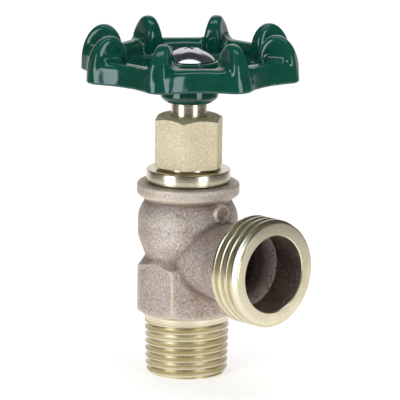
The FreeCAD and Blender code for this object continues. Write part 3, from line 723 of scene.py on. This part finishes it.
def add(tree, kind, inputs=None, **settings):
    """A node with its settings; an input takes a value or another node's output."""
    node = tree.nodes.new(kind)
    for name, setting in settings.items():
        setattr(node, name, setting)
    for socket, given in (inputs or {}).items():
        if isinstance(given, bpy.types.NodeSocket):
            tree.links.new(given, node.inputs[socket])
        else:
            node.inputs[socket].default_value = given
    return node


def maths(tree, operation, first, second=0.0):
    """The result of one operation on one or two values."""
    return add(tree, "ShaderNodeMath", {0: first, 1: second}, operation=operation).outputs[0]


def noise(tree, vector, scale, detail, roughness=0.5):
    """A cloudy pattern with values round one half."""
    return add(tree, "ShaderNodeTexNoise", {
        "Vector": vector, "Scale": scale, "Detail": detail, "Roughness": roughness}).outputs["Fac"]


def blend(tree, share, first, second):
    """The colour between two colours, by a share that may come from a node."""
    node = add(tree, "ShaderNodeMix", data_type="RGBA")
    for socket, given in ((node.inputs["Factor"], share), (node.inputs[6], first), (node.inputs[7], second)):
        if isinstance(given, bpy.types.NodeSocket):
            tree.links.new(given, socket)
        else:
            socket.default_value = given
    return node.outputs[2]


def level(tree, given, low, high, out_low=0.0, out_high=1.0):
    """Stretch a value's range to another range, without going past its ends."""
    return add(tree, "ShaderNodeMapRange", {
        "Value": given, "From Min": low, "From Max": high, "To Min": out_low, "To Max": out_high,
    }).outputs["Result"]


# %% [markdown]
# ## Groups and materials
# A node group is an effect with inputs of its own, which several materials can use. A material starts
# with its shader's plain values, and is finished with a tone, a roughness and a relief.

# %% Group and material helpers


def new_group(name, inputs, outputs):
    """An empty shader node group with named inputs, each of a kind, and float outputs."""
    group = bpy.data.node_groups.new(name, "ShaderNodeTree")
    for label, kind, start in inputs:
        socket = group.interface.new_socket(label, in_out="INPUT", socket_type=kind)
        if start is not None:
            socket.default_value = start
    for label in outputs:
        group.interface.new_socket(label, in_out="OUTPUT", socket_type="NodeSocketFloat")
    return group, group.nodes.new("NodeGroupInput"), group.nodes.new("NodeGroupOutput")


def place_group(tree, group, **inputs):
    """A group node with its inputs set or linked by name."""
    return add(tree, "ShaderNodeGroup", {label.replace("_", " "): given for label, given in inputs.items()},
               node_tree=group)


def new_material(name, **values):
    """A material with one principled shader and its plain values, and its coordinates."""
    material = bpy.data.materials.new(name)
    material.use_nodes = True
    tree = material.node_tree
    for label, given in values.items():
        tree.nodes["Principled BSDF"].inputs[label.replace("_", " ")].default_value = given
    return material, tree, tree.nodes.new("ShaderNodeTexCoord").outputs["Object"]


def finish(tree, tone, height, smooth, rough, depth):
    """Give a material its tone and, from a height pattern, its roughness and a relief in metres."""
    shader = tree.nodes["Principled BSDF"]
    tree.links.new(tone, shader.inputs["Base Color"])
    tree.links.new(level(tree, height, 0.3, 0.7, smooth, rough), shader.inputs["Roughness"])
    relief = add(tree, "ShaderNodeBump", {"Height": height, "Distance": depth, "Strength": 1.0})
    tree.links.new(relief.outputs["Normal"], shader.inputs["Normal"])


def coat(piece, material):
    """Give a whole piece, or a CAD node, one material."""
    piece.data.materials.clear()
    piece.data.materials.append(material)


# %% [markdown]
# ## Sand grain, tool marks, worn edges and painted light
# Three effects appear on several finishes, so each is a node group. Sand grain is the rough skin of a
# casting: fine grains with pits and bright specks, larger lumps, and a slow mottle of tone. Tool marks
# are the fine rings that a lathe leaves. They follow the distance along the axis plus the distance from
# it, so they ring both a cylinder and the flat face at its end. The third group reads the bend that soften
# noted on a casting's skin. It tells where the skin bulges out, which the finishes paint paler for worn
# edges and a painted highlight, and where it dips in, which they paint darker as painted shade.

# %% Shared effects
sand, source, result = new_group("sand_grain", [
    ("Vector", "NodeSocketVector", None), ("Scale", "NodeSocketFloat", 2000.0)],
    ["Height", "Mottle", "Specks", "Pits"])
where = source.outputs["Vector"]
size = source.outputs["Scale"]
fine = noise(sand, where, size, 4.0, 0.65)
lumps = noise(sand, where, maths(sand, "MULTIPLY", size, 0.28), 2.0)
slow = noise(sand, where, maths(sand, "MULTIPLY", size, 0.09), 3.0, 0.6)
height = add(sand, "ShaderNodeMix", {0: 0.3, 2: fine, 3: lumps})
sand.links.new(height.outputs[0], result.inputs["Height"])
sand.links.new(level(sand, slow, 0.33, 0.67), result.inputs["Mottle"])
sand.links.new(level(sand, fine, 0.54, 0.68), result.inputs["Specks"])
sand.links.new(level(sand, fine, 0.48, 0.34), result.inputs["Pits"])

marks, source, result = new_group("tool_marks", [
    ("Vector", "NodeSocketVector", None), ("Scale", "NodeSocketFloat", 4000.0)], ["Height", "Tone"])
size = source.outputs["Scale"]
parts = add(marks, "ShaderNodeSeparateXYZ", {0: source.outputs["Vector"]})
across = add(marks, "ShaderNodeCombineXYZ", {0: parts.outputs[0], 1: parts.outputs[1]})
radius = add(marks, "ShaderNodeVectorMath", {0: across.outputs[0]}, operation="LENGTH").outputs["Value"]
track = maths(marks, "ADD", radius, parts.outputs[2])
rings = add(marks, "ShaderNodeTexNoise", {
    "W": track, "Scale": size, "Detail": 2.0, "Roughness": 0.7}, noise_dimensions="1D")
bands = add(marks, "ShaderNodeTexNoise", {
    "W": track, "Scale": maths(marks, "MULTIPLY", size, 0.15), "Detail": 1.0}, noise_dimensions="1D")
marks.links.new(rings.outputs["Fac"], result.inputs["Height"])
marks.links.new(level(marks, bands.outputs["Fac"], 0.35, 0.65), result.inputs["Tone"])

wear_and_painted_light, source, result = new_group("edge_wear_and_painted_light", [
    ("Bulge", "NodeSocketFloat", 0.2), ("Dip", "NodeSocketFloat", 0.2)], ["Edge", "Hollow_painted_shade"])
bend = add(wear_and_painted_light, "ShaderNodeAttribute", attribute_name="bend").outputs["Fac"]
# Where the skin bulges out: painted paler by the finishes, for worn edges and a painted highlight.
wear_and_painted_light.links.new(level(wear_and_painted_light, bend, 0.05, source.outputs["Bulge"]), result.inputs["Edge"])
# Where the skin dips in: painted darker by the finishes, as painted shade.
dip = maths(wear_and_painted_light, "MULTIPLY", bend, -1.0)
wear_and_painted_light.links.new(level(wear_and_painted_light, dip, 0.0, source.outputs["Dip"]), result.inputs["Hollow_painted_shade"])
print("groups:", [group.name for group in bpy.data.node_groups])

# %% [markdown]
# ## Cast bronze
# The outside of the casting has been tumbled: it is a dull greyish brown with pinkish patches, dark pits
# and bright specks. Its hollows are painted darker, as painted shade with some soot, and its bulging
# corners paler, for rubbed metal and a painted highlight. Inside the passages nothing was cleaned, so the
# skin there is rough and painted dark, also as painted shade, but painted lighter for the first millimetres
# behind the outlet, where light falls in. Both finishes sit on the same piece, told apart by where a face
# lies.

# %% Cast finishes


def grained(name, metallic, scale, dark, light, pits=None, specks=None):
    """A material with a mottle of two tones, and tones for its pits and specks where they are given."""
    material, tree, place = new_material(name, Metallic=metallic)
    grain = place_group(tree, sand, Vector=place, Scale=scale)
    tone = blend(tree, grain.outputs["Mottle"], dark, light)
    for label, colour in (("Pits", pits), ("Specks", specks)):
        if colour:
            tone = blend(tree, grain.outputs[label], tone, colour)
    return material, tree, grain, tone


# Between these two depths behind the outlet, the passages' painted shade turns into painted light.
PASSAGE = 10.3
PASSAGE_FOOT = 17
PAINTED_SHADE_FROM = -0.0185
PAINTED_LIGHT_TO = -0.0225

cast, tree, grain, tone = grained(
    "cast_bronze", 0.8, 1700.0, (0.50, 0.39, 0.32, 1), (0.64, 0.56, 0.50, 1),
    pits=(0.29, 0.22, 0.18, 1), specks=(0.85, 0.77, 0.70, 1))
edges = place_group(tree, wear_and_painted_light, Bulge=0.28, Dip=0.3)
# Painted shade: the hollows of the skin are darkened, with some soot.
tone = blend(tree, maths(tree, "MULTIPLY", edges.outputs["Hollow_painted_shade"], 0.7), tone, (0.20, 0.14, 0.11, 1))
# Bulging corners painted paler: rubbed metal and a painted highlight.
tone = blend(tree, maths(tree, "MULTIPLY", edges.outputs["Edge"], 0.7), tone, (0.80, 0.70, 0.56, 1))
finish(tree, tone, grain.outputs["Height"], 0.42, 0.62, 0.00035)

# Uncleaned skin inside the passages, painted dark as painted shade as well.
raw_and_shaded, tree, grain, tone = grained(
    "raw_casting_painted_light", 0.4, 1500.0, (0.04, 0.028, 0.024, 1), (0.10, 0.075, 0.065, 1))
place = tree.nodes["Texture Coordinate"].outputs["Object"]
depth = add(tree, "ShaderNodeSeparateXYZ", {0: place}).outputs[1]
# Painted light: lighter towards the outlet's mouth, where light falls in.
tone = blend(tree, level(tree, depth, PAINTED_SHADE_FROM, PAINTED_LIGHT_TO), tone, (0.62, 0.52, 0.46, 1))
tone = blend(tree, maths(tree, "MULTIPLY", grain.outputs["Specks"], 0.3), tone, (0.46, 0.38, 0.34, 1))
tone = blend(tree, grain.outputs["Pits"], tone, (0.14, 0.10, 0.085, 1))
finish(tree, tone, grain.outputs["Height"], 0.55, 0.8, 0.0004)

coat(cast_body, cast)
cast_body.data.materials.append(raw_and_shaded)
inside = 0
for face in cast_body.data.polygons:
    x, y, z = face.center / MM
    in_waterway = math.hypot(x, z - outlet_level) < PASSAGE and y < -COLUMN and -y < outlet_end
    facing_axis = face.normal.x * x + face.normal.z * (z - outlet_level) < 0
    in_bore = math.hypot(x, y) < THROAT + 0.3 and z > PASSAGE_FOOT
    if in_bore or (in_waterway and facing_axis):
        face.material_index = 1
        inside += 1
print("cast body:", inside, "faces inside the passages")

# %% [markdown]
# ## Turned brass
# Turned brass is pale yellow and shiny, with fine rings. The inlet's thread has been handled and is
# duller. The rings of the hose thread lie round the outlet's axis, so its copy of the material turns
# the pattern with a Mapping node. The hose thread's bore is painted dark brown, as painted shade.

# %% Turned brass


def turned_brass(name, turn=(0, 0, 0), move=(0, 0, 0), dull=0.0):
    """Brass off the lathe, with rings round the upright axis or, moved and turned, another one."""
    brass, tree, place = new_material(name, Metallic=1.0)
    centred = add(tree, "ShaderNodeMapping", {"Vector": place, "Location": move, "Rotation": turn}).outputs[0]
    lines = place_group(tree, marks, Vector=centred, Scale=5000.0)
    blotch = place_group(tree, sand, Vector=place, Scale=900.0)
    tarnish = level(tree, blotch.outputs["Mottle"], 0.6, 1.0, 0.0, 0.35)
    tone = blend(tree, lines.outputs["Tone"], (0.70, 0.62, 0.43, 1), (0.82, 0.76, 0.59, 1))
    tone = blend(tree, tarnish, tone, (0.55, 0.43, 0.22, 1))
    finish(tree, tone, lines.outputs["Height"], 0.18 + dull, 0.28 + dull, 0.000012)
    return brass


upright_brass = turned_brass("turned_brass")
for piece in (bonnet, stem, frame["nodes"]["washer_screw"]):
    coat(piece, upright_brass)
coat(inlet, turned_brass("dulled_brass", dull=0.12))
coat(hose_thread, turned_brass(
    "turned_brass_outlet", (-math.pi / 2, 0, 0), (0, -outlet_level * MM, 0), dull=0.05))

# The bore's dark brown is painted shade.
bore_shade, tree, grain, tone = grained(
    "bore_painted_shade", 0.8, 1100.0, (0.22, 0.16, 0.135, 1), (0.40, 0.31, 0.26, 1),
    specks=(0.58, 0.48, 0.42, 1))
finish(tree, tone, grain.outputs["Height"], 0.35, 0.5, 0.00015)
hose_thread.data.materials.append(bore_shade)
for face in hose_thread.data.polygons:
    x, y, z = face.center / MM
    if math.hypot(x, z - outlet_level) < outlet_bore + 0.05:
        face.material_index = 1

# %% [markdown]
# ## Tumbled brass, enamel and steel
# The packing nut was tumbled after it was cut, so its faces are matt. The enamel is thick dark green
# paint, baked on. It flows a little, so its surface is faintly wavy, and its bulging edges are painted a
# lighter green, for enamel that runs thin there and a painted highlight. The screw is bright plated steel.

# %% Nut, wheel and screw
tumbled, tree, grain, tone = grained(
    "tumbled_brass", 0.65, 2200.0, (0.80, 0.68, 0.46, 1), (0.85, 0.74, 0.53, 1),
    pits=(0.62, 0.50, 0.32, 1), specks=(0.96, 0.86, 0.67, 1))
finish(tree, tone, grain.outputs["Height"], 0.58, 0.7, 0.0002)
coat(nut, tumbled)

enamel, tree, place = new_material(
    "green_enamel", Metallic=0.0, Coat_Weight=0.15, Coat_Roughness=0.03)
waves = noise(tree, place, 260.0, 1.0)
edges = place_group(tree, wear_and_painted_light, Bulge=0.5, Dip=0.3)
tone = blend(tree, level(tree, waves, 0.35, 0.65), (0.002, 0.052, 0.032, 1), (0.003, 0.068, 0.044, 1))
# Bulging edges painted a lighter green: thinner enamel and a painted highlight.
tone = blend(tree, edges.outputs["Edge"], tone, (0.004, 0.080, 0.056, 1))
finish(tree, tone, waves, 0.03, 0.07, 0.0002)
coat(wheel, enamel)

steel, tree, grain, tone = grained(
    "plated_steel", 1.0, 1200.0, (0.60, 0.60, 0.62, 1), (0.72, 0.72, 0.74, 1))
finish(tree, tone, grain.outputs["Height"], 0.08, 0.16, 0.000006)
coat(screw, steel)

# %% [markdown]
# ## The soft pieces
# The gasket is pressed fibre, the packing is graphite cord, and the seat's washer is rubber. They hardly
# show, but they keep their CAD shape and get their own dull, grained finish.

# %% Fibre, packing and rubber


def soft_finish(node, name, dark, light, scale, depth):
    """A dull grained finish for a small CAD node that stays as it is."""
    dull, tree, grain, tone = grained(name, 0.0, scale, dark, light)
    finish(tree, tone, grain.outputs["Height"], 0.55, 0.85, depth)
    coat(frame["nodes"][node], dull)


soft_finish("bonnet_gasket", "fibre", (0.03, 0.022, 0.016, 1), (0.07, 0.05, 0.035, 1), 4000.0, 0.00005)
soft_finish("packing_ring", "graphite_packing", (0.02, 0.02, 0.022, 1), (0.06, 0.06, 0.065, 1), 1800.0,
            0.0001)
soft_finish("seat_washer", "seat_rubber", (0.012, 0.012, 0.012, 1), (0.03, 0.03, 0.03, 1), 2500.0, 0.00002)
print("materials:", len(bpy.data.materials))

# %% [markdown]
# ## Camera
# The photograph was taken from some way off with a long lens, a little above the outlet, and 43 degrees
# round from it. The camera's distance, height and lens were fitted to the outline of both threads and
# the wheel, and it leans by less than a degree.

# %% Camera
VIEW_TURN = 0.75
CAMERA_REACH = 1.17355
CAMERA_HEIGHT = 0.294757
AIM_RIGHT = 0.002992
AIM_HEIGHT = 0.044178
LEAN = 0.012
LENS = 429.56

towards = Vector((-math.sin(VIEW_TURN), -math.cos(VIEW_TURN), 0))
right = Vector((math.cos(VIEW_TURN), -math.sin(VIEW_TURN), 0))
aim = right * AIM_RIGHT + Vector((0, 0, AIM_HEIGHT))
camera_data = bpy.data.cameras.new("camera")
camera_data.lens = LENS
camera_data.sensor_width = 36.0
camera = bpy.data.objects.new("camera", camera_data)
camera.location = towards * CAMERA_REACH + Vector((0, 0, CAMERA_HEIGHT))
camera.rotation_mode = "QUATERNION"
camera.rotation_quaternion = ((aim - camera.location).to_track_quat("-Z", "Y")
                              @ Matrix.Rotation(LEAN, 3, "Z").to_quaternion())
bpy.context.scene.collection.objects.link(camera)
bpy.context.scene.camera = camera
print("camera at", [round(number, 3) for number in camera.location])

# %% [markdown]
# ## The paper
# The valve stands on pale paper. The paper glows a little for the camera and for mirror rays, so that it
# comes out nearly white while it keeps the valve's shadow. Mirror rays meet only the paper close to the
# valve; further off they pass through it and see the world. From below it can't be seen at all.

# %% Floor
GLOW = 0.35
MIRRORED_TO = (0.17, 0.24)

floor_shape = bmesh.new()
bmesh.ops.create_grid(floor_shape, x_segments=8, y_segments=8, size=3.0)
floor = make("floor", floor_shape)
paper, tree, place = new_material("floor_paper", Roughness=0.9)
shader = tree.nodes["Principled BSDF"]
shader.inputs["Specular IOR Level"].default_value = 0.0
tree.links.new(blend(tree, noise(tree, place, 3.0, 2.0), (0.86, 0.86, 0.86, 1), (0.88, 0.88, 0.88, 1)),
               shader.inputs["Base Color"])
path = tree.nodes.new("ShaderNodeLightPath").outputs
seen = maths(tree, "MAXIMUM", path["Is Camera Ray"], path["Is Glossy Ray"])
glow = add(tree, "ShaderNodeEmission", {
    "Color": (1, 1, 1, 1), "Strength": maths(tree, "MULTIPLY", seen, GLOW)})
lit = add(tree, "ShaderNodeAddShader", {0: shader.outputs[0], 1: glow.outputs[0]})
below = tree.nodes.new("ShaderNodeNewGeometry").outputs["Backfacing"]
distance = add(tree, "ShaderNodeVectorMath", {0: place}, operation="LENGTH").outputs["Value"]
too_far = maths(tree, "MULTIPLY", level(tree, distance, *MIRRORED_TO), path["Is Glossy Ray"])
hidden = maths(tree, "MAXIMUM", below, too_far)
clear = tree.nodes.new("ShaderNodeBsdfTransparent")
both = add(tree, "ShaderNodeMixShader", {0: hidden, 1: lit.outputs[0], 2: clear.outputs[0]})
tree.links.new(both.outputs[0], tree.nodes["Material Output"].inputs["Surface"])
coat(floor, paper)

# %% [markdown]
# ## Lamps
# Two tall soft lights stand left and right of the camera, and one hangs above and behind the valve.
# They light the dull surfaces only; what the bright metal mirrors is drawn by the world.

# %% Lamps
LAMPS_AIM = 0.045


def soft_light(name, turn, rise, distance, width, tall, power):
    """An area light round from the camera by a turn to the right, aimed at the valve's middle."""
    data = bpy.data.lights.new(name, "AREA")
    data.shape = "RECTANGLE"
    data.size = width
    data.size_y = tall
    data.energy = power
    light = bpy.data.objects.new(name, data)
    turn = math.radians(turn)
    rise = math.radians(rise)
    outward = towards * math.cos(turn) + right * math.sin(turn)
    away = outward * math.cos(rise) + Vector((0, 0, math.sin(rise)))
    light.location = Vector((0, 0, LAMPS_AIM)) + away * distance
    light.rotation_mode = "QUATERNION"
    light.rotation_quaternion = away.to_track_quat("Z", "Y")
    light.visible_glossy = False
    bpy.context.scene.collection.objects.link(light)


soft_light("left_box", -34, 20, 1.0, 0.6, 0.9, 3.7)
soft_light("right_box", 43, 20, 1.0, 0.45, 0.9, 3.2)
soft_light("top_box", 180, 75, 1.0, 0.8, 0.8, 3.0)
print("lamps:", len(bpy.data.lights))

# %% [markdown]
# ## The world
# Bright metal and enamel show their surroundings more than their own colour, so for mirror rays the
# world draws a studio: two bright soft boxes beside the camera, a dim room at the sides, and a bright
# backdrop behind the valve, which gets narrower further up. Overhead there is one bright band, a little
# on the camera's side. Far below, everything is pale. The camera itself sees plain white, and all other
# rays meet an even grey.

# %% World
world = bpy.data.worlds.new("studio")
bpy.context.scene.world = world
world.use_nodes = True
tree = world.node_tree
tree.nodes.clear()
heading = add(tree, "ShaderNodeSeparateXYZ", {0: tree.nodes.new("ShaderNodeTexCoord").outputs["Generated"]})
climb = heading.outputs[2]


def along(direction):
    """How far the ray's direction leads along a level direction."""
    flat = add(tree, "ShaderNodeCombineXYZ", {0: heading.outputs[0], 1: heading.outputs[1]})
    return add(tree, "ShaderNodeVectorMath", {0: flat.outputs[0], 1: direction},
               operation="DOT_PRODUCT").outputs["Value"]


def greys(share, steps):
    """A ramp over a share from 0 to 1, from (share, strength) steps; lamps are faintly blue."""
    ramp = tree.nodes.new("ShaderNodeValToRGB")
    tree.links.new(share, ramp.inputs[0])
    while len(ramp.color_ramp.elements) < len(steps):
        ramp.color_ramp.elements.new(0.5)
    for element, (position, strength) in zip(ramp.color_ramp.elements, steps):
        element.position = position
        cool = 0.9 if strength > 1.2 else 1
        element.color = (strength * cool, strength, strength / cool, 1)
    return ramp.outputs["Color"]


BACKDROP = (0.85, 0.85, 0.87, 1)
ROOM = (0.08, 0.08, 0.08, 1)
BELOW = (0.9, 0.9, 0.88, 1)
BOXES_BY_DEGREES = [
    (-180, 1.0), (-145, 0.95), (-128, 0.4), (-116, 0.1), (-66, 0.15), (-62, 5.0), (-42, 5.0), (-38, 0.12),
    (0, 0.09), (30, 0.12), (34, 4.6), (48, 4.6), (52, 0.1), (110, 0.12), (130, 0.3), (150, 0.8), (180, 1.0)]
CEILING_TO_CAMERA = [
    (0.0, 0.8), (0.17, 0.75), (0.23, 0.06), (0.52, 0.05), (0.55, 2.4), (0.67, 2.4), (0.70, 0.12), (1.0, 0.12)]

bearing = maths(tree, "ARCTAN2", along(right), along(towards))
around = greys(level(tree, bearing, -math.pi, math.pi),
               [(angle / 360 + 0.5, strength) for angle, strength in BOXES_BY_DEGREES])
from_camera = maths(tree, "ABSOLUTE", bearing)
behind = blend(tree, level(tree, from_camera, math.radians(145), math.radians(158)), ROOM, BACKDROP)
beside = level(tree, from_camera, math.radians(70), math.radians(80))
ceiling = greys(level(tree, along(towards), -1, 1), CEILING_TO_CAMERA)
shown = blend(tree, level(tree, climb, 0.0, 0.1), around, blend(tree, beside, around, behind))
for low, high, colour in ((0.4, 0.5, behind), (0.78, 0.83, ceiling), (-0.5, -0.62, BELOW)):
    shown = blend(tree, level(tree, climb, low, high), shown, colour)
path = tree.nodes.new("ShaderNodeLightPath").outputs
mirror = maths(tree, "MAXIMUM", path["Is Glossy Ray"], path["Is Transmission Ray"])
plain = blend(tree, path["Is Camera Ray"], (0.5, 0.5, 0.5, 1), (1, 1, 1, 1))
sky = add(tree, "ShaderNodeBackground", {"Color": blend(tree, mirror, plain, shown), "Strength": 1.0})
tree.links.new(sky.outputs[0], tree.nodes.new("ShaderNodeOutputWorld").inputs["Surface"])
bpy.context.scene.view_settings.view_transform = "Standard"
print("world:", len(tree.nodes), "nodes")
